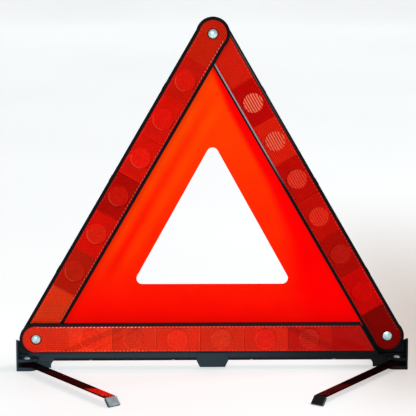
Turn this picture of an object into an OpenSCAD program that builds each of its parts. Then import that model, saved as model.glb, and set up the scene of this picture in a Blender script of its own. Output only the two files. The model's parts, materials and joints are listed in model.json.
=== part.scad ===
// Folding warning triangle for the roadside, set up and ready for use.
// Two reflective arms are riveted to a reflective base and meet at the apex.
// A cloth warning panel hangs in the triangle and four legs swing out below.
// +X is to the right seen from the front, -Y is the front, +Z is up, z = 0 is the ground.

/* [Triangle] */
// Distance between the centres of the corner rivets
rivet_span = 405; // [395:1:415]
// Height of the two lower rivets above the ground
pivot_h = 36.1; // [36.1:0.1:36.6]
// Width of an arm
arm_w = 37; // [36:0.1:37]
// Width of the base's front cover
cover_w = 37.2; // [36.6:0.1:37.2]
// Radius of an arm's rounded head, a little proud of its sides
head_r = 19.2; // [18.8:0.1:19.2]
// Radius of the front cover's rounded left end
cover_head_r = 19; // [18.9:0.1:19]
// Width of the black rim beside a lens
rim_w = 3.6; // [3.4:0.1:4]
// Width of the black rim at the base lens's right end
end_rim = 2; // [1.4:0.1:2.4]

/* [Layers from front to back] */
// How far a lens lies below its rim
lip = 0.4; // [0.3:0.05:0.6]
// Thickness of a lens
lens_t = 1.8; // [1.4:0.1:1.8]
// Thickness of the reflector foil behind a lens
foil_t = 0.4; // [0.2:0.1:0.4]
// Thickness of the front cover's wall
cover_wall = 1.4; // [1.4:0.1:2]
// Thickness of an arm's web behind its foil
arm_web = 1.0; // [1:0.1:1.4]
// Running gap between two layers
layer_gap = 0.4; // [0.4:0.05:0.6]
// Thickness of the base's back wall
back_wall = 2.2; // [2:0.1:2.4]
// Thickness of the warning cloth
cloth_t = 0.5; // [0.4:0.1:0.6]
// Thickness of the strip that clamps the cloth
strip_t = 1.6; // [1.4:0.1:2]

/* [Base] */
// Height of the rail's underside above the ground
rail_z = 10.5; // [10.4:0.1:10.8]
// Height of the channel floor on which the folded arms lie
channel_z = 16.4; // [16.3:0.1:16.5]
// Half the length of the rail between its end blocks
rail_half = 182; // [178:1:182]
// Half the length of the whole base
base_half = 225; // [225:0.5:227]
// Thickness of an end block's outer wall
end_wall = 2.2; // [1.8:0.1:2.2]
// Half the depth of an end block's plates
block_half_y = 14; // [14:0.5:16]
// Thickness of an end block's bottom plate
sole_t = 4.2; // [3.8:0.1:4.2]
// Thickness of an end block's shelf
shelf_t = 3; // [2.8:0.1:3]
// Half the width of the centre tab at the rail
tab_top_half = 18.2; // [16:0.1:20]
// Half the width of the centre tab at its lower edge
tab_foot_half = 14.4; // [12:0.1:15]
// Height of the centre tab's lower edge above the ground
tab_z = 2.8; // [2:0.1:4]

/* [Rivets] */
// Radius of a corner rivet's head
rivet_head_r = 5.2; // [5:0.1:5.4]
// Radius of a corner rivet's shank
rivet_r = 2.5; // [2:0.1:2.6]
// Running clearance of a hinge bore on its radius
run_fit = 0.05; // [0.02:0.01:0.08]
// Radius of the hole in a lens around its rivet
lens_hole_r = 6.35; // [6.2:0.05:6.5]

/* [Cloth] */
// Side of the cloth's triangular window, measured between sharp corners
window_side = 184; // [170:1:190]
// Corner radius of the window
window_r = 6.7; // [4:0.1:9]
// How far the window's centre lies below the triangle's centre
window_drop = 3; // [0:0.5:5]
// How much higher the window's top corner stands than that of an equilateral triangle
window_rise = 6.5; // [0:0.5:8]

/* [Legs] */
// Distance from the leg pin to the bend of the foot
leg_len = 170; // [150:1:172]
// Width of a leg strip
leg_w = 12.5; // [11:0.1:12.6]
// Thickness of a leg strip
leg_t = 1.8; // [1.5:0.1:2]
// Height of a leg's upper face above the ground
leg_top = 9.7; // [9.4:0.1:9.7]
// Angle between the base and a leg that is swung out
leg_angle = 54.5; // [45:0.5:60]
// Length of the bent foot
foot_len = 11.3; // [10.5:0.1:11.4]
// Distance of the leg pins from the middle of the base along X
leg_pin_x = 213; // [212:0.5:214]
// Distance of the leg pins from the middle of the base along Y
leg_pin_y = 8; // [8:0.1:9]

/* [Hidden] */
$fn = 96;
eps = 0.01;
arm_half = arm_w / 2;
arm_t = lip + lens_t + foil_t + arm_web;
cover_half = cover_w / 2;
lens_fit = 0.1;

// Front and back of each layer along Y. The stack stands a little forward of the legs' middle.
stack_shift = 0.25;
cover_t = lip + lens_t + foil_t + cover_wall;
stack_t = cover_t + arm_t * 2 + layer_gap * 3 + back_wall + cloth_t + strip_t;
cover_y = -stack_t / 2 - stack_shift;
cover_back = cover_y + cover_t;
left_y = cover_back + layer_gap;
left_back = left_y + arm_t;
right_y = left_back + layer_gap;
right_back = right_y + arm_t;
wall_y = right_back + layer_gap;
wall_back = wall_y + back_wall;
cloth_back = wall_back + cloth_t;
strip_back = cloth_back + strip_t;
rail_half_y = -cover_y;

// Corners of the rivet triangle in X and Z: base left, base right, apex.
apex_z = pivot_h + rivet_span * sin(60);
corner = [[-rivet_span / 2, pivot_h], [rivet_span / 2, pivot_h], [0, apex_z]];

// Distances from the axis of the bar that crosses a bar's far end. The front cover ends
// beside the right arm, and each arm's lens ends hidden behind the bar in front of it.
cover_gap = 0.4;
lens_overlap = 3.4;
cover_cut = arm_half + cover_gap;
hidden_cut = arm_half - lens_overlap;

boss_gap = 0.35;
boss_r = lens_hole_r - boss_gap;
boss_h = 1.2;
rivet_dome = 1.9;
low_dome = 1.05;
tail_r = 4.6;
tail_t = 0.8;
tail_sink = [0.35, 0.1];
tail_pocket_r = 5.2;
tail_pocket = [1.3, 1];
seat_gap = 0.05;
washer_r = 8;
washer_t = layer_gap - 2 * seat_gap;
stud_r = 2;
stud_head_r = 4.2;
stud_head_t = 0.4;
stud_rise = 0.25;
stud_pocket = 0.8;
stud_fit = 0.1;
nub = [8, 0.3];
nub_places = [79, 199.5, 321];

wall_top = pivot_h + 12;
strip_low = pivot_h - 8.5;
strip_high = pivot_h + 1.5;
strip_half = 180;
strip_rivets = [-172, -103, -34, 34, 103, 172];
strip_rivet_r = 1.5;
strip_rivet_head = [3, 1];
notch_r = 7;
notch_high = 20;
cloth_boss_r = 5;
cloth_boss_back = wall_back - 0.2;
eyelet_r = 6;
eyelet_t = 0.8;
eyelet_gap = 0.2;
cloth_hole_r = 2.6;

cloth_inset = 6;
cloth_half = 190;
cloth_low = pivot_h - 10;
cloth_tab_r = 9;

screw_r = 1.1;
screw_head = [2.2, 1];
screw_fit = 0.2;
screw_pocket = 1.3;
screw_room = 1.2;
cover_screws_x = [-140, -45, 45, 140];
cover_screw_y = cover_y + 2;
cover_screw_len = 8.4;
tab_screws_x = [-8, 8];
tab_screw_len = 5;
tab_front = cover_y - 1.2;
tab_high = 19.6;
tab_wall = 2;

beam_r = 1.6;
shelf_step = 0.2;
shelf_z = rail_z + shelf_step;
shelf_top = shelf_z + shelf_t;
block_beam_x = 198;
block_plan_x = 211;
block_plan_r = 10;
web_half = 1.2;
web_x = 186;
web_foot = 0.4;
web_fillet = 8;
block_plate_in = block_plan_x - block_plan_r;
spine_half = 3;

// The outer wall of an end block: upright front edge, leaning top edge, low back edge.
wall_front_z = 20;
wall_lean = 1.5;
wall_flat = 5;
wall_drop = 5.5;
wall_rear_z = 16;
// The step of an end block's back wall past the rivet.
step_x = [205, 218];
step_h = 4;

leg_pin_r = 2.5;
leg_pin_head = [4, 1.8];
leg_pin_room = [0.5, 0.3];
leg_pin_end = [0.4, 0.8];
leg_pin_end_room = 0.3;
leg_hub_gap = 0.2;
foot_angle = 45;
cap_wall = 1;
cap_from = 1.2;
cap_len = 11.2;

// ---- Placing ----

// Extrudes a drawing in X and Z from y0 back to y1.
module layer(y0, y1) {
  translate([0, y1, 0]) rotate([90, 0, 0]) linear_extrude(y1 - y0) children();
}

// Extrudes a drawing in Y and Z from x0 to x1.
module along_x(x0, x1) {
  translate([x0, 0, 0]) rotate([90, 0, 90]) linear_extrude(x1 - x0) children();
}

// Side 0 is the base, 1 the right arm and 2 the left arm. Each runs along its own +X
// from its head rivet, and its own +Y points into the triangle.
module on_side(i) {
  translate(corner[i]) rotate(120 * i) children();
}

// Turns a part drawn about +Z so that it runs back along +Y at a corner.
module at_corner(i) {
  translate([corner[i][0], 0, corner[i][1]]) rotate([-90, 0, 0]) children();
}

// ---- Outlines of a bar and its lens ----

// The half plane beyond the far end, cut parallel to the crossing bar's axis.
module beyond(distance) {
  reach = 3 * arm_w;
  translate([rivet_span - distance / sin(60), 0]) rotate(30) translate([0, -reach]) {
    square([3 * reach, 2 * reach]);
  }
}

module bar_outline(half, r) {
  circle(r);
  translate([0, -half]) square([rivet_span, 2 * half]);
}

module arm_outline() {
  bar_outline(arm_half, head_r);
  translate([rivet_span, 0]) circle(arm_half);
  for (x = nub_places) {
    translate([x - nub[0] / 2, -arm_half - nub[1]]) square([nub[0], nub[1] + 1]);
  }
}

// The lens of a bar with the given half width and head radius, shrunk all round.
module lens_outline(half, r, cut, shrink) {
  difference() {
    bar_outline(half - rim_w - shrink, r - rim_w - shrink);
    beyond(cut + shrink);
  }
}

// ---- Shared solids ----

// The tray of one arm: web, rim, a boss under the head rivet and a solid far end.
module arm_frame(i, y0) {
  web_y = y0 + lip + lens_t + foil_t;
  difference() {
    union() {
      difference() {
        layer(y0, y0 + arm_t) on_side(i) arm_outline();
        layer(y0 - 1, web_y) on_side(i) lens_outline(arm_half, head_r, hidden_cut, 0);
      }
      layer(web_y - boss_h, web_y + eps) on_side(i) circle(boss_r);
    }
    children();
  }
}

module lens(i, y0, half, r, cut) {
  layer(y0 + lip, y0 + lip + lens_t) on_side(i) difference() {
    lens_outline(half, r, cut, lens_fit);
    circle(lens_hole_r);
  }
}

module foil(i, y0, half, r, cut) {
  layer(y0 + lip + lens_t, y0 + lip + lens_t + foil_t) on_side(i) difference() {
    lens_outline(half, r, cut, lens_fit);
    circle(lens_hole_r);
  }
}

// A domed head from z = 0 up to z = height, as thick as the dome alone.
module dome(r, height) {
  ball = (r * r + height * height) / (2 * height);
  rotate_extrude() intersection() {
    translate([0, height - ball]) circle(ball);
    square([r, height]);
  }
}

// A rivet along +Z: dome below z0, shank, and a flat tail that ends at z1.
module rivet(z0, z1, head_h, tail = true) {
  translate([0, 0, z0]) mirror([0, 0, 1]) dome(rivet_head_r, head_h);
  translate([0, 0, z0]) cylinder(r = rivet_r, h = z1 - z0);
  if (tail) {
    translate([0, 0, z1 - tail_t]) cylinder(r = tail_r, h = tail_t);
  }
}

module ring(r_out, r_in, h) {
  difference() {
    cylinder(r = r_out, h = h);
    translate([0, 0, -1]) cylinder(r = r_in, h = h + 2);
  }
}

// ---- Base ----

module base_rail() color("#1d2024") {
  difference() {
    union() {
      along_x(-rail_half, rail_half) rail_profile();
      along_x(-rail_half, rail_half) wall_profile(wall_top);
    }
    for (x = cover_screws_x) {
      translate([x, cover_screw_y, rail_z - 1]) {
        cylinder(r = screw_r + screw_fit, h = channel_z - rail_z + 2);
        cylinder(r = screw_head[0] + screw_fit, h = screw_pocket + 1);
      }
    }
    for (x = tab_screws_x) {
      translate([x, 0, rail_z - 1]) cylinder(r = screw_r, h = tab_screw_len);
    }
    for (x = strip_rivets) {
      strip_rivet_hole(x);
    }
  }
}

// The rail's beam, rounded along its two lower edges.
module rail_profile() {
  translate([-rail_half_y, rail_z + beam_r]) square([2 * rail_half_y, channel_z - rail_z - beam_r]);
  translate([beam_r - rail_half_y, rail_z]) square([2 * (rail_half_y - beam_r), beam_r + 1]);
  for (s = [-1, 1]) {
    translate([s * (rail_half_y - beam_r), rail_z + beam_r]) circle(beam_r);
  }
}

// The back wall behind the folded arms, round along its top edge.
module wall_profile(top) {
  translate([wall_y, channel_z - 1]) square([back_wall, top - channel_z + 1 - back_wall / 2]);
  translate([wall_y + back_wall / 2, top - back_wall / 2]) circle(back_wall / 2);
}

module strip_rivet_hole(x) {
  translate([x, wall_y - 1, (strip_low + strip_high) / 2]) rotate([-90, 0, 0]) {
    cylinder(r = strip_rivet_r, h = strip_back - wall_y + 2);
  }
}

// Plan of the bottom plate and the shelf, with rounded inner corners.
module block_plan() {
  for (s = [-1, 1]) {
    translate([block_plan_x, s * (block_half_y - block_plan_r)]) circle(block_plan_r);
  }
  translate([block_plan_x, -block_half_y]) {
    square([base_half - end_wall - block_plan_x + 1, 2 * block_half_y]);
  }
  translate([block_plate_in, block_plan_r - block_half_y]) {
    square([block_plan_r, 2 * (block_half_y - block_plan_r)]);
  }
}

// The outer wall seen from the side: highest at the front, sloping down to the back.
module end_wall_profile() {
  polygon([
    [-block_half_y, 0], [-block_half_y, wall_front_z], [-block_half_y + wall_lean, pivot_h],
    [-block_half_y + wall_flat, pivot_h], [wall_back, pivot_h - wall_drop],
    [block_half_y, wall_rear_z], [block_half_y, 0]
  ]);
}

// The back wall of an end block in X and Z, stepping down past the rivet.
module block_wall_profile() {
  polygon([
    [rail_half, channel_z - 1], [rail_half, wall_top - 1], [step_x[0], pivot_h + step_h],
    [step_x[1], pivot_h - step_h], [base_half - end_wall + 1, pivot_h - wall_drop],
    [base_half - end_wall + 1, channel_z - 1]
  ]);
}

// The thin upright web between the front and the rear leg, blended into the rail.
module web_profile() {
  difference() {
    union() {
      translate([block_plate_in, sole_t - 1]) {
        square([base_half - end_wall - block_plate_in + 1, shelf_z - sole_t + 2]);
      }
      translate([web_x, web_foot]) {
        square([block_plate_in - web_x + 1, rail_z - web_foot + 1]);
      }
      translate([rail_half, rail_z - web_fillet]) {
        square([web_x - rail_half + 1, web_fillet + 1]);
      }
    }
    translate([web_x - web_fillet, rail_z - web_fillet]) circle(web_fillet);
    translate([rail_half - 1, 0]) square([web_x - rail_half + 1, rail_z - web_fillet + eps]);
  }
}

// An end block drawn at +X. It carries the hinge pins of a front and a rear leg.
module end_block() {
  difference() {
    union() {
      linear_extrude(sole_t) block_plan();
      translate([0, 0, shelf_z]) linear_extrude(shelf_t) block_plan();
      layer(-web_half, web_half) web_profile();
      along_x(rail_half, block_beam_x) rail_profile();
      along_x(block_beam_x - 1, base_half - end_wall + 1) {
        translate([-spine_half, shelf_top - 1]) {
          square([spine_half + wall_back, channel_z - shelf_top + 1]);
        }
      }
      layer(wall_y, wall_back) block_wall_profile();
      along_x(base_half - end_wall, base_half) end_wall_profile();
    }
    for (s = [-1, 1]) {
      translate([leg_pin_x, s * leg_pin_y, -1]) cylinder(r = leg_pin_r, h = channel_z);
      translate([leg_pin_x, s * leg_pin_y, shelf_top]) {
        cylinder(r = leg_pin_head[0] + leg_pin_room[0], h = leg_pin_head[1] + leg_pin_room[1]);
      }
      translate([leg_pin_x, s * leg_pin_y, -1]) {
        cylinder(r = leg_pin_head[0] + leg_pin_end_room, h = leg_pin_end[0] + leg_pin_end[1] + 1);
      }
    }
  }
}

// The left block's back wall is notched where the right arm's cloth boss comes to rest.
module left_end_block() color("#16181b") difference() {
  mirror([1, 0, 0]) end_block();
  layer(wall_y - 1, wall_back + 1) translate(corner[0]) {
    circle(notch_r);
    translate([-notch_r, 0]) square([2 * notch_r, notch_high]);
  }
}

module right_end_block() color("#16181b") difference() {
  end_block();
  at_corner(1) cylinder(r = rivet_r, h = 3 * rail_half_y);
}

module base_front_cover() color("#1d2024") difference() {
  union() {
    difference() {
      layer(cover_y, cover_back) cover_outline();
      layer(cover_y - 1, cover_back - cover_wall) on_side(0) {
        lens_outline(cover_half, cover_head_r, cover_cut + end_rim, 0);
      }
    }
    layer(cover_back - cover_wall - boss_h, cover_back - cover_wall + eps) {
      on_side(0) circle(boss_r);
    }
  }
  at_corner(0) translate([0, 0, cover_y - 1]) cylinder(r = rivet_r, h = cover_t + 2);
  for (x = cover_screws_x) {
    translate([x, cover_screw_y, rail_z]) cylinder(r = screw_r, h = cover_screw_len + screw_room);
  }
}

module cover_outline() difference() {
  union() {
    on_side(0) bar_outline(cover_half, cover_head_r);
    translate([-rivet_span / 2, channel_z]) square([rivet_span, pivot_h - channel_z]);
  }
  on_side(0) beyond(cover_cut);
}

module base_lens() color("#e0240f") {
  lens(0, cover_y, cover_half, cover_head_r, cover_cut + end_rim);
}

module base_foil() color("#c9ccd0") {
  foil(0, cover_y, cover_half, cover_head_r, cover_cut + end_rim);
}

module centre_tab() color("#24272b") difference() {
  layer(tab_front, rail_half_y) tab_outline();
  translate([-tab_top_half - 1, cover_y, rail_z]) {
    cube([2 * tab_top_half + 2, 2 * rail_half_y + 1, tab_high]);
  }
  translate([0, 0, tab_z - 1]) linear_extrude(rail_z - tab_wall - tab_z + 1) square(
    [2 * (tab_foot_half - tab_wall), 2 * (rail_half_y - tab_wall)], center = true);
  for (x = tab_screws_x) {
    translate([x, 0, rail_z - tab_wall - 1]) cylinder(r = screw_r + screw_fit, h = tab_wall + 2);
  }
}

module tab_outline() polygon([
  [-tab_top_half, tab_high], [-tab_top_half, rail_z], [-tab_foot_half, tab_z],
  [tab_foot_half, tab_z], [tab_top_half, rail_z], [tab_top_half, tab_high]
]);

// A screw along +Z with its head at the bottom.
module screw(length) {
  cylinder(r = screw_head[0], h = screw_head[1]);
  translate([0, 0, screw_head[1] - eps]) cylinder(r = screw_r, h = length - screw_head[1]);
}

module cover_screws() color("#9a9da1") for (x = cover_screws_x) {
  translate([x, cover_screw_y, rail_z + screw_fit]) screw(cover_screw_len);
}

module tab_screws() color("#9a9da1") for (x = tab_screws_x) {
  translate([x, 0, rail_z - tab_wall - screw_head[1]]) screw(tab_screw_len);
}

// ---- Corner rivets and washers ----

module left_pivot_rivet() color("#dfe6ea") at_corner(0) {
  rivet(cover_back - cover_wall - boss_h, left_back - tail_sink[0], rivet_dome);
}

module left_pivot_washer() color("#e8e8e4") at_corner(0) {
  translate([0, 0, cover_back + seat_gap]) ring(washer_r, rivet_r, washer_t);
}

module right_pivot_rivet() color("#dfe6ea") at_corner(1) {
  rivet(right_back - arm_web - boss_h - seat_gap, wall_back + tail_t, low_dome);
}

module right_pivot_washer() color("#e8e8e4") at_corner(1) {
  translate([0, 0, right_back + seat_gap]) ring(washer_r, rivet_r, washer_t);
}

module apex_rivet() color("#dfe6ea") at_corner(2) {
  rivet(left_back - arm_web - boss_h, left_back - tail_sink[1], rivet_dome);
}

// ---- Arms ----

module left_arm_frame() color("#141416") arm_frame(2, left_y) {
  at_corner(2) translate([0, 0, left_y - 1]) cylinder(r = rivet_r, h = arm_t + 2);
  at_corner(2) translate([0, 0, left_back - tail_pocket[1]]) cylinder(r = tail_pocket_r, h = 2);
  at_corner(0) translate([0, 0, left_y - 1]) cylinder(r = rivet_r + run_fit, h = arm_t + 2);
  at_corner(0) translate([0, 0, left_back - tail_pocket[0]]) cylinder(r = tail_pocket_r, h = 2);
}

module left_arm_lens() color("#d2200d") lens(2, left_y, arm_half, head_r, hidden_cut);

module left_arm_foil() color("#c9ccd0") foil(2, left_y, arm_half, head_r, hidden_cut);

// The right arm also carries the boss that holds the top of the cloth.
module right_arm_frame() color("#141416") difference() {
  union() {
    arm_frame(1, right_y) {
      at_corner(1) translate([0, 0, right_y - 1]) cylinder(r = rivet_r + run_fit, h = arm_t + 2);
      at_corner(2) translate([0, 0, right_y - 1]) {
        cylinder(r = stud_head_r + stud_fit, h = stud_pocket + 1);
      }
    }
    at_corner(2) translate([0, 0, right_back - eps]) {
      cylinder(r = cloth_boss_r, h = cloth_boss_back - right_back);
    }
  }
  at_corner(2) translate([0, 0, right_y]) cylinder(r = stud_r, h = 3 * arm_t);
}

module right_arm_lens() color("#d2200d") lens(1, right_y, arm_half, head_r, hidden_cut);

module right_arm_foil() color("#c9ccd0") foil(1, right_y, arm_half, head_r, hidden_cut);

// The low dome that clicks into the hollow behind the apex rivet.
module apex_snap_stud() color("#cfd6da") at_corner(2) {
  translate([0, 0, right_y + stud_head_t]) {
    mirror([0, 0, 1]) dome(stud_head_r, stud_head_t + stud_rise);
    translate([0, 0, -eps]) cylinder(r = stud_head_r, h = stud_head_t);
    cylinder(r = stud_r, h = arm_t);
  }
}

// ---- Cloth and what holds it ----

module warning_cloth() color("#ff3a12") difference() {
  layer(wall_back, cloth_back) difference() {
    cloth_outline();
    window_outline();
    translate(corner[2]) circle(cloth_hole_r);
  }
  for (x = strip_rivets) {
    strip_rivet_hole(x);
  }
}

// Points on a circle's arc from angle a0 to a1, in steps of 10 degrees.
function arc(centre, r, a0, a1) = [
  for (a = [a0:10:a1]) centre + r * [cos(a), sin(a)]
];

// A triangle whose edges run behind the arms, with a round tab at the apex.
module cloth_outline() {
  top = apex_z - 2 * cloth_inset;
  low_corner_z = top - cloth_half * tan(60);
  tab_corner_z = top - cloth_tab_r * tan(60);
  polygon(concat(
    [[-cloth_half, cloth_low], [cloth_half, cloth_low], [cloth_half, low_corner_z]],
    [[cloth_tab_r, tab_corner_z]],
    arc(corner[2], cloth_tab_r, 0, 180),
    [[-cloth_tab_r, tab_corner_z], [-cloth_half, low_corner_z]]
  ));
}

// The open window: a triangle with its corners rounded.
module window_outline() {
  reach = window_side / sqrt(3) - 2 * window_r;
  translate([0, pivot_h + rivet_span / (2 * sqrt(3)) - window_drop]) polygon([
    for (i = [0:2]) each arc(
      reach * [cos(90 + 120 * i), sin(90 + 120 * i)] + [0, i == 0 ? window_rise : 0],
      window_r, 30 + 120 * i, 150 + 120 * i)
  ]);
}

module cloth_clamp_strip() color("#17191c") difference() {
  layer(cloth_back, strip_back) translate([-strip_half, strip_low]) {
    square([2 * strip_half, strip_high - strip_low]);
  }
  for (x = strip_rivets) {
    strip_rivet_hole(x);
  }
}

module clamp_rivets() color("#b9bdc1") for (x = strip_rivets) {
  translate([x, 0, (strip_low + strip_high) / 2]) rotate([-90, 0, 0]) {
    translate([0, 0, wall_y + seat_gap]) cylinder(r = strip_rivet_r, h = strip_back - wall_y);
    translate([0, 0, strip_back]) dome(strip_rivet_head[0], strip_rivet_head[1]);
  }
}

module cloth_apex_eyelet() color("#b9bdc1") at_corner(2) {
  shank_y = right_y + stud_head_t + arm_t;
  flange_y = cloth_back + eyelet_gap;
  translate([0, 0, shank_y]) cylinder(r = stud_r, h = flange_y + eyelet_t / 2 - shank_y);
  translate([0, 0, flange_y]) cylinder(r = eyelet_r, h = eyelet_t);
}

// ---- Legs ----

// Puts a leg part, drawn along +X from its pin, at one of the four hinges.
module at_leg(sx, sy) {
  translate([sx * leg_pin_x, sy * leg_pin_y, 0]) {
    flip = [sx < 0 ? 0 : 1, sy < 0 ? 1 : 0];
    mirror([flip[0], 0, 0]) mirror([0, flip[1], 0]) rotate([0, 0, leg_angle]) children();
  }
}

// Side view of the strip with its foot bent down.
module leg_profile() {
  translate([0, leg_top - leg_t]) square([leg_len, leg_t]);
  translate([leg_len, leg_top]) rotate(-foot_angle) translate([0, -leg_t]) square([foot_len, leg_t]);
  translate([leg_len, leg_top]) polygon([
    [-eps, 0], [0, 0], [-leg_t * sin(foot_angle), -leg_t * cos(foot_angle)],
    [-leg_t * sin(foot_angle), -leg_t], [-leg_t, -leg_t], [-leg_t, 0]
  ]);
}

module leg(sx, sy) color("#0f0f11") at_leg(sx, sy) difference() {
  union() {
    layer(-leg_w / 2, leg_w / 2) leg_profile();
    translate([0, 0, sole_t + leg_hub_gap]) {
      cylinder(r = leg_w / 2, h = shelf_z - sole_t - 2 * leg_hub_gap);
    }
  }
  cylinder(r = leg_pin_r + run_fit, h = shelf_z);
}

// A rubber sleeve on the end of the foot with a flat sole on the ground.
module foot_cap(sx, sy) color("#2b2d30") at_leg(sx, sy) difference() {
  intersection() {
    layer(-leg_w / 2 - cap_wall, leg_w / 2 + cap_wall) {
      translate([leg_len, leg_top]) rotate(-foot_angle) {
        translate([cap_from, -leg_t - cap_wall]) square([cap_len, leg_t + 2 * cap_wall]);
      }
    }
    translate([0, -leg_w, 0]) cube([2 * leg_len, 2 * leg_w, leg_top]);
  }
  layer(-leg_w / 2, leg_w / 2) translate([leg_len, leg_top]) rotate(-foot_angle) {
    translate([0, -leg_t]) square([foot_len, leg_t]);
  }
}

// A hinge pin with a round head on the shelf and a clenched end below the bottom plate.
module leg_pin(sx, sy) color("#cfd6da") {
  translate([sx * leg_pin_x, sy * leg_pin_y, 0]) {
    translate([0, 0, leg_pin_end[0]]) {
      cylinder(r = leg_pin_head[0], h = leg_pin_end[1]);
      cylinder(r = leg_pin_r, h = shelf_top - leg_pin_end[0]);
    }
    translate([0, 0, shelf_top]) dome(leg_pin_head[0], leg_pin_head[1]);
  }
}

base_rail();
left_end_block();
right_end_block();
base_front_cover();
base_lens();
base_foil();
centre_tab();
cover_screws();
tab_screws();
left_pivot_rivet();
left_pivot_washer();
right_pivot_rivet();
right_pivot_washer();
warning_cloth();
cloth_clamp_strip();
clamp_rivets();
left_arm_frame();
left_arm_lens();
left_arm_foil();
apex_rivet();
right_arm_frame();
right_arm_lens();
right_arm_foil();
apex_snap_stud();
cloth_apex_eyelet();
leg(-1, -1);  // front_left_leg
leg(1, -1);  // front_right_leg
leg(-1, 1);  // rear_left_leg
leg(1, 1);  // rear_right_leg
foot_cap(-1, -1);  // front_left_foot_cap
foot_cap(1, -1);  // front_right_foot_cap
foot_cap(-1, 1);  // rear_left_foot_cap
foot_cap(1, 1);  // rear_right_foot_cap
leg_pin(-1, -1);  // front_left_leg_pin
leg_pin(1, -1);  // front_right_leg_pin
leg_pin(-1, 1);  // rear_left_leg_pin
leg_pin(1, 1);  // rear_right_leg_pin
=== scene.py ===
import json
import math

import bmesh
import bpy
import numpy as np
from mathutils import Matrix, Vector
from mathutils.geometry import delaunay_2d_cdt

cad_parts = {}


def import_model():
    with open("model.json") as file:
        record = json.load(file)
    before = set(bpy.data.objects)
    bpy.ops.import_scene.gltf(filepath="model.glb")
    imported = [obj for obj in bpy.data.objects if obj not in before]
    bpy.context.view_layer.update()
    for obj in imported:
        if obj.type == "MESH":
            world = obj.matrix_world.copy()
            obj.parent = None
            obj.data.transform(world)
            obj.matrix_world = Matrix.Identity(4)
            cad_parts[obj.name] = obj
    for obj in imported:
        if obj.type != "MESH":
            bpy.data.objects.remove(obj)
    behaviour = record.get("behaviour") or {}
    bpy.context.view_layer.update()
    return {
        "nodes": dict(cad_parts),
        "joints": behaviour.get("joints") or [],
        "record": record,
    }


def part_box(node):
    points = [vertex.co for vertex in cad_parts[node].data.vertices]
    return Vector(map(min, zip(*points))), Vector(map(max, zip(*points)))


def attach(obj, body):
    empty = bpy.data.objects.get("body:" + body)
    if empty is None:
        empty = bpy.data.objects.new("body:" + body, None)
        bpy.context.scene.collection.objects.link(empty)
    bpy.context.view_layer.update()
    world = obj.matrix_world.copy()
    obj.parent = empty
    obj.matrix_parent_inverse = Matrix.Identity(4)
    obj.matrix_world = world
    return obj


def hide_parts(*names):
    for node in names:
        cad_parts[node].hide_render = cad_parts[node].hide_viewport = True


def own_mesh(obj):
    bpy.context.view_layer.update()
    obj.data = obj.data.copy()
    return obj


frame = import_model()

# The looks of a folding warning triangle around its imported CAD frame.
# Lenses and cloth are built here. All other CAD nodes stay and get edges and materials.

MM = 0.001
rng = np.random.default_rng(7)
joint = {j["name"]: j for j in frame["joints"]}

# ---- Where the three bars are, from the frame ----

COS60, SIN60 = math.cos(math.radians(60)), math.sin(math.radians(60))
left_pivot = Vector(joint["left_arm_fold"]["pos_m"])
right_pivot = Vector(joint["right_arm_fold"]["pos_m"])
span = (right_pivot - left_pivot).length
apex = (left_pivot + right_pivot) / 2 + Vector((0, 0, span * SIN60))


def bar_matrix(head, turn_deg, y):
    """A bar's own axes, front at depth y: X from its head rivet, Y into the triangle, Z to the front."""
    c, s = math.cos(math.radians(turn_deg)), math.sin(math.radians(turn_deg))
    return Matrix(((c, -s, 0, head.x), (0, 0, -1, y), (s, c, 0, head.z), (0, 0, 0, 1)))


# ---- Nodes and materials ----

# Painted light: the lenses glow by emission in their own colour, standing in for their bright
# retroreflection.
LENS_GLOW = 0.3
# Painted light: the cloth glows by emission in its own colour, standing in for its fluorescence and lifting
# its shade.
CLOTH_GLOW = 0.6
CLOTH_DYE = (0.5, 0.5, 0.5)
THREADS = 300.0
# Painted reflection: a blue-grey tone on the black base plastic towards the left, on the rail only at middle
# height.
REFLECTION_TONE = (0.026, 0.043, 0.056)
REFLECTION_X = (0.17, -0.03)
REFLECTION_BAND_FOOT = (12.5 * MM, 15.5 * MM)
REFLECTION_BAND_TOP = (22 * MM, 18 * MM)
FACES_UP = (0.6, 0.95)
RED_REFLECTION = (0.75, 0.015, 0.015)
RIM_HIGHLIGHT_EDGE = 0.5 * MM
# Painted highlights on the right arm's rims: where they lie off its axis, the heights where they start and
# are full, colour.
RIM_HIGHLIGHTS = (
    ((14.4 * MM, 16.6 * MM), (0.205, 0.265), (0.4, 0.33, 0.36)),
    ((-16.9 * MM, -15.3 * MM), (0.21, 0.37), (0.09, 0.075, 0.075)),
)


def new_material(name, roughness, **sockets):
    """A Principled material. sockets are plain values for the shader's own inputs."""
    m = bpy.data.materials.new(name)
    m.use_nodes = True
    shader = m.node_tree.nodes["Principled BSDF"]
    shader.inputs["Roughness"].default_value = roughness
    for key, value in sockets.items():
        shader.inputs[key.replace("_", " ").title().replace("Ior", "IOR")].default_value = value
    return m, shader


def add(m, kind, **values):
    n = m.node_tree.nodes.new(kind)
    for key, value in values.items():
        n.inputs[key].default_value = value
    return n


def link(m, source, target):
    m.node_tree.links.new(source, target)


def grain(m, size, detail=3.0, stretch=(1, 1, 1)):
    """Noise whose spots are about size metres wide."""
    place = add(m, "ShaderNodeTexCoord")
    scale = add(m, "ShaderNodeMapping", Scale=stretch)
    noise = add(m, "ShaderNodeTexNoise", Scale=1 / size, Detail=detail)
    link(m, place.outputs["Object"], scale.inputs["Vector"])
    link(m, scale.outputs["Vector"], noise.inputs["Vector"])
    return noise.outputs["Fac"]


def ranged(m, value, low, high):
    n = add(m, "ShaderNodeMapRange", **{"From Min": 0.3, "From Max": 0.7, "To Min": low, "To Max": high})
    link(m, value, n.inputs["Value"])
    return n.outputs["Result"]


def mixed(m, factor, a, b):
    n = add(m, "ShaderNodeMix")
    n.data_type = "RGBA"
    n.inputs["A"].default_value = (*a, 1)
    n.inputs["B"].default_value = (*b, 1)
    link(m, factor, n.inputs["Factor"])
    return n.outputs["Result"]


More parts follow.
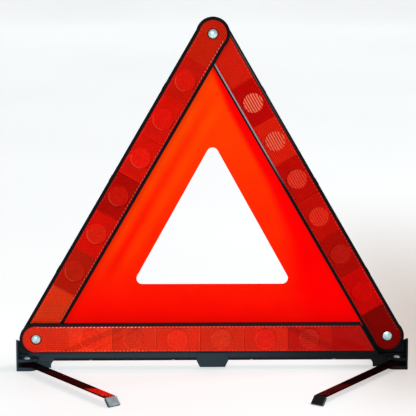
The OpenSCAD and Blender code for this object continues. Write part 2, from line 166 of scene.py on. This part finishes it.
def product(m, colour, by):
    """A colour multiplied by another node's colour or by a plain one."""
    n = add(m, "ShaderNodeMix")
    n.data_type = "RGBA"
    n.blend_type = "MULTIPLY"
    n.inputs["Factor"].default_value = 1.0
    link(m, colour, n.inputs["A"])
    if isinstance(by, tuple):
        n.inputs["B"].default_value = (*by, 1)
    else:
        link(m, by, n.inputs["B"])
    return n.outputs["Result"]


def mesh_tint(m):
    """The colour that the mesh holds for each face or corner."""
    n = add(m, "ShaderNodeAttribute")
    n.attribute_name = "tint"
    return n.outputs["Color"]


def bump(m, shader, height, strength, distance):
    n = add(m, "ShaderNodeBump", Strength=strength, Distance=distance)
    link(m, height, n.inputs["Height"])
    link(m, n.outputs["Normal"], shader.inputs["Normal"])


def moulded(name, dark, light, roughness, texture_mm=0.6, strength=0.25, **sockets):
    """Moulded plastic or rubber: faint flow marks in colour and gloss, fine surface texture."""
    m, shader = new_material(name, roughness, **sockets)
    flow = grain(m, 25 * MM)
    link(m, mixed(m, ranged(m, flow, 0, 1), dark, light), shader.inputs["Base Color"])
    link(m, ranged(m, grain(m, 6 * MM), roughness * 0.85, roughness * 1.2), shader.inputs["Roughness"])
    bump(m, shader, grain(m, texture_mm * MM), strength, 0.05 * MM)
    return m


def metal(name, dark, light, roughness, scratch=(1, 1, 12), metallic=1.0):
    m, shader = new_material(name, roughness, metallic=metallic)
    link(m, mixed(m, ranged(m, grain(m, 3 * MM, 5), 0, 1), dark, light), shader.inputs["Base Color"])
    marks = grain(m, 2 * MM, 6, scratch)
    link(m, ranged(m, marks, roughness * 0.7, roughness * 1.5), shader.inputs["Roughness"])
    bump(m, shader, marks, 0.12, 0.03 * MM)
    return m


def lens_material(name, gloss):
    """Red prism lens under a smooth front, glowing by emission as painted light. The mesh holds the tint of
    each prism.
    """
    m, shader = new_material(name, 0.1, specular_ior_level=gloss, emission_strength=LENS_GLOW)
    cloud = mixed(m, ranged(m, grain(m, 14 * MM, 4), 0, 1), (0.95, 0.93, 0.93), (1.04, 1.06, 1.04))
    colour = product(m, mesh_tint(m), cloud)
    link(m, colour, shader.inputs["Base Color"])
    link(m, colour, shader.inputs["Emission Color"])
    link(m, ranged(m, grain(m, 9 * MM), 0.05, 0.1), shader.inputs["Roughness"])
    return m


def cloth_material():
    """Coated woven cloth: plain weave in fine relief, dull, with a fluorescent glow that is emitted as
    painted light.
    """
    m, shader = new_material("warning_cloth_weave", 0.8, specular_ior_level=0.0, emission_strength=CLOTH_GLOW)
    place = add(m, "ShaderNodeTexCoord")
    threads = []
    for direction in ("X", "Z"):
        wave = add(m, "ShaderNodeTexWave", Scale=THREADS, Distortion=0.8, Detail=1.0)
        wave.bands_direction = direction
        link(m, place.outputs["Object"], wave.inputs["Vector"])
        threads.append(wave.outputs["Fac"])
    cloud = mixed(m, ranged(m, grain(m, 30 * MM, 2), 0, 1), (0.96, 0.9, 0.9), (1.02, 1.08, 1.0))
    colour = product(m, mesh_tint(m), cloud)
    link(m, product(m, colour, CLOTH_DYE), shader.inputs["Base Color"])
    link(m, colour, shader.inputs["Emission Color"])
    bump(m, shader, times(m, *threads), 0.3, 0.08 * MM)
    return m


def position(m):
    """The X, Y and Z of the shaded point in the model's own frame."""
    place = add(m, "ShaderNodeTexCoord")
    split = add(m, "ShaderNodeSeparateXYZ")
    link(m, place.outputs["Object"], split.inputs["Vector"])
    return split.outputs


def fade(m, value, start, end):
    """Goes from 0 at start to 1 at end."""
    n = add(m, "ShaderNodeMapRange", **{"From Min": start, "From Max": end})
    n.interpolation_type = "SMOOTHSTEP"
    link(m, value, n.inputs["Value"])
    return n.outputs["Result"]


def times(m, a, b):
    n = add(m, "ShaderNodeMath")
    n.operation = "MULTIPLY"
    link(m, a, n.inputs[0])
    link(m, b, n.inputs[1])
    return n.outputs["Value"]


def tinge(m, shader, factor, colour):
    """Mixes a colour into the shader's base colour, as far as factor says."""
    both = add(m, "ShaderNodeMix")
    both.data_type = "RGBA"
    both.inputs["B"].default_value = (*colour, 1)
    link(m, factor, both.inputs["Factor"])
    link(m, shader.inputs["Base Color"].links[0].from_socket, both.inputs["A"])
    link(m, both.outputs["Result"], shader.inputs["Base Color"])


def arm_plastic(name):
    return moulded(name, (0.002, 0.002, 0.003), (0.004, 0.004, 0.005), 0.3, specular_ior_level=0.06)


def highlit_arm_plastic(name):
    """The right arm's plastic with painted highlights: a bright line on its inner rim and a faint one on its
    outer rim.
    """
    m = arm_plastic(name)
    shader = m.node_tree.nodes["Principled BSDF"]
    place = add(m, "ShaderNodeTexCoord")
    across = add(m, "ShaderNodeVectorMath")
    across.operation = "DOT_PRODUCT"
    across.inputs[1].default_value = (-SIN60, 0, -COS60)
    link(m, place.outputs["Object"], across.inputs[0])
    off_axis = across.outputs["Value"]
    axis = -apex.x * SIN60 - apex.z * COS60
    height = position(m)["Z"]
    for (low, high), heights, colour in RIM_HIGHLIGHTS:
        line = times(m, fade(m, off_axis, axis + low, axis + low + RIM_HIGHLIGHT_EDGE),
                     fade(m, off_axis, axis + high, axis + high - RIM_HIGHLIGHT_EDGE))
        tinge(m, shader, times(m, line, fade(m, height, *heights)), colour)
    return m


def base_plastic(name, banded):
    """Satin black plastic with a painted blue-grey reflection towards the left. On a banded piece the painted
    reflection is only at middle height.
    """
    m = moulded(name, (0.002, 0.004, 0.005), (0.004, 0.006, 0.008), 0.45, specular_ior_level=0.1)
    shader = m.node_tree.nodes["Principled BSDF"]
    at = position(m)
    painted_reflection = fade(m, at["X"], *REFLECTION_X)
    if banded:
        band = times(m, fade(m, at["Z"], *REFLECTION_BAND_FOOT), fade(m, at["Z"], *REFLECTION_BAND_TOP))
        painted_reflection = times(m, painted_reflection, band)
    tinge(m, shader, painted_reflection, REFLECTION_TONE)
    return m


def leg_paint(name, dull, shine, change, paint_red_reflection):
    """Black paint. Faces that look up turn from dull to bright between the two depths in change. When asked,
    those bright faces also turn red and metallic: a painted reflection of the red triangle above them.
    """
    m, shader = new_material(name, 0.06, coat_roughness=0.03, coat_ior=2.6, specular_ior_level=0.0)
    place = add(m, "ShaderNodeNewGeometry")
    split = add(m, "ShaderNodeSeparateXYZ")
    link(m, place.outputs["Normal"], split.inputs["Vector"])
    up = fade(m, split.outputs["Z"], *FACES_UP)
    outer = fade(m, position(m)["Y"], *change)
    coat = add(m, "ShaderNodeMapRange", **{"To Min": dull, "To Max": shine})
    link(m, outer, coat.inputs["Value"])
    link(m, times(m, up, coat.outputs["Result"]), shader.inputs["Coat Weight"])
    paint = mixed(m, ranged(m, grain(m, 25 * MM), 0, 1), (0.004, 0.001, 0.001), (0.008, 0.002, 0.002))
    link(m, paint, shader.inputs["Base Color"])
    bump(m, shader, grain(m, 2.5 * MM), 0.05, 0.05 * MM)
    # Painted reflection: the up-facing outer faces turn red and metallic, for the red triangle seen in them.
    if paint_red_reflection:
        bright = times(m, up, outer)
        tinge(m, shader, bright, RED_REFLECTION)
        link(m, bright, shader.inputs["Metallic"])
    return m


MATERIALS = {
    "base_plastic": base_plastic("base_plastic_satin", False),
    "arm_plastic": arm_plastic("arm_plastic_black"),
    "reflector_foil": metal("reflector_foil_bright", (0.7, 0.71, 0.72), (0.85, 0.86, 0.87), 0.25),
    "rivet_steel": metal("rivet_plated", (0.48, 0.72, 0.74), (0.74, 0.93, 0.94), 0.25, metallic=0.4),
    "screw_steel": metal("screw_zinc", (0.45, 0.46, 0.47), (0.62, 0.63, 0.65), 0.35),
    "washer_nylon": moulded("washer_nylon_natural", (0.8, 0.8, 0.76), (0.9, 0.9, 0.87), 0.45),
    "leg_paint": leg_paint("leg_black_gloss", 0.03, 0.45, (-0.098, -0.113), False),
    "foot_rubber": moulded("foot_rubber_black", (0.001, 0.0015, 0.002), (0.002, 0.0025, 0.003), 0.3,
                           specular_ior_level=0.75, specular_tint=(0.78, 0.94, 1.0, 1)),
}
rail_plastic = base_plastic("rail_plastic_satin", True)
OWN_MATERIAL = {
    "base_rail": rail_plastic,
    "base_front_cover": rail_plastic,
    "right_arm_frame": highlit_arm_plastic("right_arm_plastic_highlit"),
    "front_left_leg": leg_paint("front_left_leg_gloss", 0.1, 0.05, (-0.113, -0.122), True),
}

# ---- Flat outlines taken from the CAD nodes ----

SAME_POINT = 0.005 * MM
SAME_PLANE = 0.01 * MM


def front_loops(node):
    """The closed outlines of a flat CAD node's front face, largest first, as points in X and Z."""
    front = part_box(node)[0].y
    bm = bmesh.new()
    bm.from_mesh(frame["nodes"][node].data)
    bmesh.ops.remove_doubles(bm, verts=bm.verts, dist=SAME_POINT)
    flat = {f for f in bm.faces if all(abs(v.co.y - front) < SAME_PLANE for v in f.verts)}
    rim = [e for e in bm.edges if sum(f in flat for f in e.link_faces) == 1]
    follows = {}
    for e in rim:
        for a, b in (e.verts, reversed(e.verts)):
            follows.setdefault(a, []).append(b)
    loops = []
    while follows:
        start = next(iter(follows))
        loop, before, here = [start], None, start
        while True:
            after = next(v for v in follows.pop(here) if v is not before)
            if after is start:
                break
            loop.append(after)
            before, here = here, after
        loops.append(np.array([(v.co.x, v.co.z) for v in loop]))
    bm.free()
    return sorted(loops, key=lambda p: -area_of(p))


def area_of(loop):
    x, y = loop.T
    return abs(np.dot(x, np.roll(y, -1)) - np.dot(y, np.roll(x, -1))) / 2


def inside(points, loop):
    """True for each point that lies in a closed outline."""
    x, y = points.T
    a, b = loop, np.roll(loop, -1, axis=0)
    hits = np.zeros(len(points), bool)
    for (ax, ay), (bx, by) in zip(a, b):
        if ay != by:
            crosses = (ay > y) != (by > y)
            hits ^= crosses & (x < (bx - ax) * (y - ay) / (by - ay) + ax)
    return hits


def edge_distance(points, loop):
    """Distance of each point from a closed outline."""
    a, b = loop, np.roll(loop, -1, axis=0)
    best = np.full(len(points), np.inf)
    for p, q in zip(a, b):
        d = q - p
        t = np.clip(((points - p) @ d) / max(d @ d, 1e-18), 0, 1)
        best = np.minimum(best, np.linalg.norm(points - p - t[:, None] * d, axis=1))
    return best


def tile(loops, lines, spots):
    """Triangles that fill the first loop without the other loops.

    The lines and spots become edges and corners."""
    chains = [(p, True) for p in loops] + lines
    coords, edges = [], []
    for points, closed in chains:
        first = len(coords)
        coords += [Vector(p) for p in points]
        edges += [(first + i, first + i + 1) for i in range(len(points) - 1)]
        if closed:
            edges.append((len(coords) - 1, first))
    coords += [Vector(p) for p in spots]
    corners, _, faces, _, _, _ = delaunay_2d_cdt(coords, edges, [], 0, 1e-7)
    corners = np.array([tuple(c) for c in corners])
    faces = np.array([f[:] for f in faces])
    middle = corners[faces].mean(axis=1)
    keep = inside(middle, loops[0])
    for hole in loops[1:]:
        keep &= ~inside(middle, hole)
    faces = faces[keep]
    used, faces = np.unique(faces, return_inverse=True)
    return corners[used], faces.reshape(-1, 3)


def plate(name, corners, faces, height, thickness, tint):
    """A closed plate: its front follows height, its back is flat. tint is a colour for each front face."""
    bm = bmesh.new()
    front = [bm.verts.new((x, y, h)) for (x, y), h in zip(corners, height)]
    back = [bm.verts.new((x, y, -thickness)) for x, y in corners]
    layer = bm.loops.layers.float_color.new("tint")
    for i, (a, b, c) in enumerate(faces):
        for corner in bm.faces.new((front[a], front[b], front[c])).loops:
            corner[layer] = (*tint[i], 1)
        for corner in bm.faces.new((back[c], back[b], back[a])).loops:
            corner[layer] = (*tint[i], 1)
    sides = {}
    for f in faces:
        for a, b in zip(f, np.roll(f, -1)):
            sides[(a, b)] = True
    for a, b in sides:
        if (b, a) not in sides:
            for corner in bm.faces.new((front[b], front[a], back[a], back[b])).loops:
                corner[layer] = (*tint[0], 1)
    behind = {e for v in back for e in v.link_edges if e.other_vert(v).co.z == v.co.z}
    bmesh.ops.dissolve_limit(bm, angle_limit=0.001, verts=back, edges=list(behind))
    bmesh.ops.recalc_face_normals(bm, faces=bm.faces)
    mesh = bpy.data.meshes.new(name)
    bm.to_mesh(mesh)
    bm.free()
    piece = bpy.data.objects.new(name, mesh)
    bpy.context.scene.collection.objects.link(piece)
    return piece


# ---- Lenses ----

DISC_R = 11.4 * MM
DISC_FIRST = 61.8 * MM
DISC_PITCH = 50.5 * MM
DISCS = 6
PRISM = 1.45 * MM
PRISM_H = 0.03 * MM
RIDGE = 1.4 * MM
EDGE_BAND = 1.9 * MM
TICK_PITCH = 4.3 * MM
TICK_HALF = (1.15 * MM, 0.55 * MM)
TICK_INSET = 0.95 * MM
TICK_LEAN = 0.7 * MM
RING = 0.45 * MM
SEAM_HALF = 0.15 * MM
SEAM_ZONE = 0.2 * MM
CLEAR = 0.4 * MM
HOLE_RIM = 0.8 * MM
ROUND_END = 40 * MM
disc_s = DISC_FIRST + DISC_PITCH * np.arange(DISCS)
seam_s = DISC_FIRST + DISC_PITCH * (np.arange(DISCS + 1) - 0.5)


def circle(s, t, r, steps=56):
    a = np.arange(steps) * 2 * math.pi / steps
    return np.column_stack([s + r * np.cos(a), t + r * np.sin(a)])


def lattice(lo, hi, pitch):
    """A triangular lattice. Every third point is the tip of a six-sided prism cell."""
    rows = np.arange(lo[0], hi[0], pitch * SIN60)
    points, tips = [], []
    for i, s in enumerate(rows):
        t = np.arange(lo[1] + (i % 2) * pitch / 2, hi[1], pitch)
        points.append(np.column_stack([np.full(len(t), s), t]))
        tips.append((np.arange(len(t)) + (i // 2) * 3 + (i % 2) * 2) % 3 == 0)
    return np.concatenate(points), np.concatenate(tips)


def ridge_points():
    """Points of the ridges in every disc, which run along the bar."""
    t = np.arange(-7, 8) * RIDGE
    s = np.arange(-4, 5) * 2.6 * MM
    grid = np.array([(a, b) for a in s for b in t if math.hypot(a, b) < DISC_R - 0.8 * MM])
    return np.concatenate([grid + (c, 0) for c in disc_s])


def tick(s, t, lean):
    """One slanted rib at a lens's edge."""
    along, across = TICK_HALF
    return np.array([(s - along, t - across), (s, t - across), (s + along + lean, t + across),
                     (s + lean, t + across)])


def lens(node, name, head, turn, body, look):
    """A lens with its modules, discs, prisms and edge ribs, in place of its plain CAD plate."""
    lo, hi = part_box(node)
    place = bar_matrix(head, turn, lo.y)
    back = place.inverted()
    loops = [np.array([(back @ Vector((x, lo.y, z))).xy for x, z in p]) for p in front_loops(node)]
    outer = loops[0]
    half = np.abs(outer[outer[:, 0] > ROUND_END, 1]).max()
    end = outer[:, 0].max()
    ticks = []
    for side in (-1, 1):
        for s in np.arange(2 * MM, end - 8 * MM, TICK_PITCH):
            ticks.append(tick(s, side * (half - TICK_INSET), side * TICK_LEAN))
    ticks = [q for q in ticks if inside(q, outer).all() and edge_distance(q, outer).min() > 0.2 * MM]
    seams = []
    for s in seam_s:
        for shift in (-SEAM_HALF, SEAM_HALF):
            t = half - EDGE_BAND - 0.1 * MM
            seams.append(np.array([(s + shift, -t), (s + shift, t)]))
    rings = [circle(s, 0, DISC_R - d) for s in disc_s for d in (0, RING)]
    lines = [(q, True) for q in ticks + rings] + [(q, False) for q in seams]
    cells, tips = lattice(outer.min(0), outer.max(0), PRISM)
    free = inside(cells, outer) & (edge_distance(cells, outer) > EDGE_BAND)
    for hole in loops[1:]:
        free &= ~inside(cells, hole) & (edge_distance(cells, hole) > HOLE_RIM)
    for s in disc_s:
        free &= np.hypot(cells[:, 0] - s, cells[:, 1]) > DISC_R + CLEAR
    for s in seam_s:
        free &= np.abs(cells[:, 0] - s) > CLEAR
    cells, tips = cells[free], tips[free]
    corners, faces = tile(loops, lines, np.concatenate([cells, ridge_points()]))
    height = lens_height(corners, cells[tips], ticks)
    tint = lens_tint(corners, faces, height, ticks, look)
    piece = plate(name, corners, faces, height, hi.y - lo.y, tint)
    piece.data.transform(place)
    piece.data.materials.append(lens_material(name + "_red", look["gloss"]))
    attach(piece, body)
    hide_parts(node)
    return piece


def smooth(value, low, high):
    t = np.clip((value - low) / (high - low), 0, 1)
    return t * t * (3 - 2 * t)


def near_any(points, spots, reach):
    """True for each point within reach of one of the spots."""
    key = {tuple(k) for k in np.round(spots / reach).astype(int)}
    return np.array([tuple(k) in key for k in np.round(points / reach).astype(int)])


def lens_height(corners, tips, ticks):
    """Relief of a lens's front: prism tips, disc ridges, sunk seams and raised edge ribs."""
    height = np.zeros(len(corners))
    height[near_any(corners, tips, 0.02 * MM)] = PRISM_H
    s, t = corners.T
    for c in disc_s:
        r = np.hypot(s - c, t)
        odd = np.round(t / RIDGE).astype(int) % 2 == 1
        height[(r < DISC_R - 0.6 * MM) & odd] = 1.5 * PRISM_H
        height[np.abs(r - DISC_R + 0.22 * MM) < 0.3 * MM] = -2 * PRISM_H
    for c in seam_s:
        height[np.abs(s - c) < SEAM_ZONE] = -2 * PRISM_H
    for q in ticks:
        height[near_any(corners, q, 0.02 * MM)] = 2 * PRISM_H
    return height


def slope(corners, faces, height):
    """How far each face leans towards the light, from -1 to 1."""
    a, b, c = (np.column_stack([corners, height])[faces[:, i]] for i in range(3))
    normal = np.cross(b - a, c - a)
    lean = (normal[:, 0] * 0.5 + normal[:, 1] * 0.87) / np.maximum(np.abs(normal[:, 2]), 1e-12)
    return np.clip(lean * PRISM / (2 * PRISM_H), -1, 1)


PRISM_SHADE = 0.34
PRISM_SPREAD = 0.05
DISC_SPREAD = 0.08
ARC_LIGHT = (0.1, 0.06, 0.03)
RIB_LIGHT = (0.25, 0.35, 0.3)


def lens_tint(corners, faces, height, ticks, look):
    """The colour of every front face of a lens."""
    s, t = corners[faces].mean(axis=1).T
    module = np.searchsorted(seam_s, s)
    colour = np.array(look["modules"], float)[module]
    shade = PRISM_SHADE * slope(corners, faces, height) + PRISM_SPREAD * rng.standard_normal(len(faces))
    colour = colour * (1 + shade)[:, None]
    for i, c in enumerate(disc_s):
        r = np.hypot(s - c, t)
        disc = r < DISC_R - 0.2 * MM
        spread = DISC_SPREAD * rng.standard_normal(disc.sum())
        colour[disc] = np.array(look["discs"][i]) * (1 + spread)[:, None]
        # Painted highlights: every other ridge in a disc gets the pale stripe colour added.
        lit = disc & (np.round(t / RIDGE - 0.25).astype(int) % 2 == 0)
        colour[lit] += look["stripes"][i] * np.array(look["stripe"])
        turn = np.degrees(np.arctan2(t, s - c))
        arc = (np.abs(r - DISC_R + 0.25 * MM) < 0.35 * MM) & (np.abs(turn - look["arc"]) < 55)
        colour[arc] += np.array(ARC_LIGHT) * look["arc_light"]
    # Painted shade: diagonal dark bands across the lens.
    for (s0, t0), (s1, t1), wide, dark in look.get("bands", []):
        d = np.array((s1 - s0, t1 - t0)) / math.hypot(s1 - s0, t1 - t0)
        off = np.abs((s - s0 * MM) * d[1] - (t - t0 * MM) * d[0])
        colour *= (1 - (1 - dark) * (1 - smooth(off, wide * 0.35 * MM, wide * 0.65 * MM)))[:, None]
    rib = np.zeros(len(faces), bool)
    for q in ticks:
        box = (np.abs(s - q[:, 0].mean()) < 2 * MM) & (np.abs(t - q[:, 1].mean()) < 0.7 * MM)
        where = np.flatnonzero(box)
        rib[where[inside(np.column_stack([s[where], t[where]]), q)]] = True
    side = np.where(t > 0, look["inner_ribs"], look["outer_ribs"])
    along = np.interp(s, [p[0] * MM for p in look["rib_fade"]], [p[1] for p in look["rib_fade"]])
    colour[rib] += (side * along)[rib, None] * np.array(RIB_LIGHT)
    return np.clip(colour, 0, 1)


RED = np.array((0.62, 0.0025, 0.0015))
ORANGE = np.array((0.75, 0.028, 0.006))


def tones(levels, warm):
    """Module colours from their brightness and from how far each leans to orange."""
    return [level * ((1 - w) * RED + w * ORANGE) for level, w in zip(levels, warm)]


BASE_LOOK = {
    "modules": tones([0.85, 0.97, 0.76, 0.82, 0.74, 0.79, 0.64, 0.55],
                     [0.7, 0.9, 0.9, 0.7, 0.7, 0.45, 0.15, 0.05]),
    "discs": tones([1.0, 0.74, 0.97, 0.74, 0.95, 0.64], [0.6, 0.8, 0.5, 0.9, 0.15, 0.3]),
    "stripes": [0.03] * 6, "stripe": (0.5, 0.2, 0.1), "arc": 200, "arc_light": 0.8, "gloss": 0.05,
    "inner_ribs": 1.2, "outer_ribs": 0.3,
    "rib_fade": [(8, 0.5), (60, 1), (125, 1), (135, 0.3), (290, 0.3), (400, 0)],
    "bands": [((34, -15), (100, 15), 7, 0.78), ((62, -15), (124, 15), 3, 0.88),
              ((286, 15), (346, -15), 7, 0.8)],
}
LEFT_LOOK = {
    "modules": tones([0.62, 0.7, 0.83, 0.8, 0.52, 0.81, 0.54, 0.69],
                     [0.6, 0.2, 0.13, 0.15, 0.08, 0.1, 0.4, 1.4]),
    "discs": tones([0.87, 0.96, 1.04, 0.7, 0.84, 0.57], [0.15, 0.08, 0.12, 0.15, 0.35, 0.5]),
    "stripes": [0.02] * 6, "stripe": (0.4, 0.1, 0.05), "arc": -30, "arc_light": 1.0, "gloss": 0.01,
    "inner_ribs": 0.6, "outer_ribs": 0.1,
    "rib_fade": [(0, 1), (40, 1), (60, 0.3), (180, 0.5), (330, 0.6), (400, 0.1)],
}
RIGHT_LOOK = {
    "modules": tones([0.27, 0.72, 0.5, 0.66, 0.63, 0.81, 0.64, 0.76], [0.1, 0, 0.1, 0.1, 0.05, 0.35, 0, 0.4]),
    "discs": tones([0.8, 0.58, 0.85, 0.8, 0.75, 0.72], [0.0, 0.1, 0.2, 0.3, 0.3, 0.3]),
    "stripes": [0.0, 0.05, 0.14, 0.22, 0.68, 0.95], "stripe": (0.2, 0.15, 0.085), "arc": 0, "arc_light": 0.0,
    "gloss": 0.01, "inner_ribs": 0.05, "outer_ribs": 0.1, "rib_fade": [(0, 1), (400, 1)],
}

lens("base_lens", "base_lens_prisms", left_pivot, 0, "base", BASE_LOOK)
lens("right_arm_lens", "right_arm_lens_prisms", right_pivot, 120, "right_arm", RIGHT_LOOK)
lens("left_arm_lens", "left_arm_lens_prisms", apex, 240, "left_arm", LEFT_LOOK)

# ---- Cloth ----

CLOTH_STEP = 3.2 * MM
CLOTH_EDGE = 1.5 * MM
# Soft folds: how far they lie from the left arm's axis, their width and their depth.
FOLDS = ((34 * MM, 9 * MM, 1.5 * MM), (56 * MM, 7 * MM, 1.0 * MM), (80 * MM, 14 * MM, 1.2 * MM))
CREASE_DEPTH = 2.2 * MM
WAVE_DEPTH = 0.5 * MM
CLOTH_RED = 0.98
CLOTH_DARK = 0.0008


def bar_distances(x, z):
    """Distance of points from the axes of the left arm and the right arm, into the triangle."""
    left = (x - apex.x) * SIN60 + (apex.z - z) * COS60
    right = (apex.x - x) * SIN60 + (apex.z - z) * COS60
    return left, right


def cloth_sag(x, z):
    """How far the cloth lies behind its flat plane: folds by the left arm, a crease by the right arm."""
    left, right = bar_distances(x, z)
    loose = smooth(z, 55 * MM, 100 * MM) * smooth(apex.z - z, 30 * MM, 75 * MM)
    folds = sum(depth * np.exp(-(((left - off) / wide) ** 2)) for off, wide, depth in FOLDS)
    fold = CREASE_DEPTH * smooth(right - crease(z), -2 * MM, 8 * MM)
    wave = WAVE_DEPTH * np.sin(z / (17 * MM) + x / (40 * MM)) * np.sin(x / (26 * MM))
    return loose * np.maximum(folds + fold + wave, 0)


# The crease: how far down the right arm, and how far from its edge, in mm.
CREASE = ((0, 30, 56, 117, 155, 195, 235, 300), (2, 6, 9, 11, 12, 16.5, 23, 45))
# Painted light on the cloth: its orange share at each height in mm, left of the crease; more orange means
# more light.
CLOTH_LIGHT = ((50, 70, 105, 200, 258, 330), (0.002, 0.003, 0.011, 0.024, 0.037, 0.046))
# Painted highlights and shade on folds along the left arm: distance from its axis and width in mm, change of
# the orange share.
FOLD_LIGHT = ((26, 4, 0.022), (37, 3.5, -0.012), (47, 6, 0.016))


def crease(z):
    """Distance of the cloth's crease from the right arm's axis. It spreads from the apex downwards."""
    along = (apex.z - 37 * MM - z) / math.cos(math.radians(30))
    return 18.5 * MM + np.interp(along / MM, *CREASE) * MM


def cloth_tint(x, z):
    """Colour of the cloth with painted light and shade: lit orange at the top, red below, shaded pure red
    between the crease and the right arm.
    """
    left, right = bar_distances(x, z)
    orange_light = np.interp(z / MM, *CLOTH_LIGHT)
    lit = smooth(z, 90 * MM, 150 * MM) * smooth(apex.z - z, 60 * MM, 110 * MM)
    for d, w, a in FOLD_LIGHT:
        orange_light = orange_light + a * lit * np.exp(-(((left - d * MM) / (w * MM)) ** 2))
    blur = np.interp(z / MM, (100, 190, 260), (26, 9, 5)) * MM
    # Painted shade: between the crease and the right arm the cloth stays pure red.
    green = CLOTH_DARK + orange_light * smooth((right - crease(z)) / blur, -0.5, 0.8)
    return np.column_stack([np.full(len(x), CLOTH_RED), green, np.full(len(x), CLOTH_DARK)])


def cloth():
    node = "warning_cloth"
    lo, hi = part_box(node)
    loops = front_loops(node)
    spots, _ = lattice((lo.x, lo.z), (hi.x, hi.z), CLOTH_STEP)
    free = inside(spots, loops[0]) & (edge_distance(spots, loops[0]) > CLOTH_EDGE)
    for hole in loops[1:]:
        free &= ~inside(spots, hole) & (edge_distance(spots, hole) > CLOTH_EDGE)
    corners, faces = tile(loops, [], spots[free])
    x, z = corners.T
    mesh = bpy.data.meshes.new("warning_panel")
    depth = (lo.y + hi.y) / 2 + cloth_sag(x, z)
    mesh.from_pydata(np.column_stack([x, depth, z]).tolist(), [], faces.tolist())
    tint = mesh.color_attributes.new("tint", "FLOAT_COLOR", "POINT")
    colours = np.column_stack([cloth_tint(x, z), np.ones(len(x))])
    tint.data.foreach_set("color", colours.astype(np.float32).ravel())
    mesh.shade_smooth()
    piece = bpy.data.objects.new("warning_panel", mesh)
    bpy.context.scene.collection.objects.link(piece)
    thick = piece.modifiers.new("thickness", "SOLIDIFY")
    thick.thickness = hi.y - lo.y
    thick.offset = 0
    mesh.materials.append(cloth_material())
    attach(piece, "base")
    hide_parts(node)
    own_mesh(piece)
    return piece


cloth()

# ---- CAD nodes: softened edges and materials ----

EDGE = {"base_plastic": 0.5 * MM, "arm_plastic": 0.35 * MM, "leg_paint": 0.35 * MM, "foot_rubber": 0.3 * MM}


def soften(piece, width):
    """Rounds the sharp edges of a CAD node."""
    weld = piece.modifiers.new("weld", "WELD")
    weld.merge_threshold = 0.002 * MM
    edge = piece.modifiers.new("edges", "BEVEL")
    edge.width = width
    edge.segments = 3
    edge.limit_method = "ANGLE"
    edge.angle_limit = math.radians(35)
    edge.harden_normals = True


for row in frame["record"]["subparts"]:
    piece = frame["nodes"][row["node"]]
    slot = row["material_slot"]
    if slot in MATERIALS:
        piece.data.materials.clear()
        piece.data.materials.append(OWN_MATERIAL.get(row["node"], MATERIALS[slot]))
    if slot in EDGE:
        soften(piece, EDGE[slot])

# ---- Stage, light and camera ----

# The floor and its painted shadow, a dim patch: where it fades in along X, and along Y from either side.
FLOOR_GLOW = 1.16
FLOOR_TONES = (0.527, 0.538, 0.543), (0.547, 0.558, 0.558)
PATCH_TONE = (0.346, 0.308, 0.281, 1)
PATCH_X, PATCH_NEAR, PATCH_FAR = (0.1, 0.27), (-0.3, 0.02), (1.15, 0.15)


def stage():
    """A pale floor that curves up into a backdrop, with a painted shadow patch."""
    bend, far, near, high = 0.5, 4.2, -8.0, 3.2
    profile = [(near, 0), (far - bend, 0)]
    for a in range(10, 90, 10):
        c = math.cos(math.radians(a))
        profile.append((far - bend + bend * math.sin(math.radians(a)), bend * (1 - c)))
    profile += [(far, bend), (far, high)]
    wide = 8.0
    verts = [(x, y, z) for y, z in profile for x in (-wide, wide)]
    faces = [(2 * i, 2 * i + 1, 2 * i + 3, 2 * i + 2) for i in range(len(profile) - 1)]
    mesh = bpy.data.meshes.new("floor")
    mesh.from_pydata(verts, [], faces)
    mesh.shade_smooth()
    floor = bpy.data.objects.new("floor", mesh)
    bpy.context.scene.collection.objects.link(floor)
    m, shader = new_material("floor_white", 0.5, specular_ior_level=0.1, emission_strength=FLOOR_GLOW)
    # Painted shadow: a soft dim patch on the floor to the right, behind the triangle.
    at = position(m)
    deep = times(m, fade(m, at["Y"], *PATCH_NEAR), fade(m, at["Y"], *PATCH_FAR))
    dim = times(m, fade(m, at["X"], *PATCH_X), deep)
    both = add(m, "ShaderNodeMix")
    both.data_type = "RGBA"
    both.inputs["B"].default_value = PATCH_TONE
    link(m, dim, both.inputs["Factor"])
    link(m, mixed(m, ranged(m, grain(m, 0.5), 0, 1), *FLOOR_TONES), both.inputs["A"])
    link(m, both.outputs["Result"], shader.inputs["Base Color"])
    link(m, both.outputs["Result"], shader.inputs["Emission Color"])
    mesh.materials.append(m)


def area_light(name, place, aim, size, power, colour=(1, 1, 1)):
    data = bpy.data.lights.new(name, "AREA")
    data.shape = "RECTANGLE"
    data.size, data.size_y = size
    data.energy = power
    data.color = colour
    light = bpy.data.objects.new(name, data)
    light.location = place
    light.rotation_euler = (Vector(aim) - Vector(place)).to_track_quat("-Z", "Y").to_euler()
    bpy.context.scene.collection.objects.link(light)


def world(strength):
    w = bpy.data.worlds.new("studio")
    w.use_nodes = True
    w.node_tree.nodes["Background"].inputs["Strength"].default_value = strength
    w.node_tree.nodes["Background"].inputs["Color"].default_value = (1.0, 1.0, 1.0, 1)
    bpy.context.scene.world = w


def camera():
    """A long lens from a little left of the middle, 15 degrees above the triangle's foot."""
    data = bpy.data.cameras.new("camera")
    data.lens = 170.65
    data.sensor_width = 36
    cam = bpy.data.objects.new("camera", data)
    place = Vector((-0.0565, -2.2, 0.6288))
    aim = Vector((-0.0052, 0, 0.1878))
    roll = math.radians(0.1)
    turn = (aim - place).to_track_quat("-Z", "Y").to_matrix() @ Matrix.Rotation(roll, 3, "Z")
    cam.matrix_world = Matrix.Translation(place) @ turn.to_4x4()
    bpy.context.scene.collection.objects.link(cam)
    bpy.context.scene.camera = cam


stage()
world(0.15)
area_light("key", (1.45, 0.15, 2.05), (0, 0, 0), (1.0, 1.0), 26)
area_light("front", (-0.6, -3.4, 1.3), (0, 0, 0.15), (3.0, 1.8), 55)
camera()
bpy.context.scene.view_settings.view_transform = "Standard"
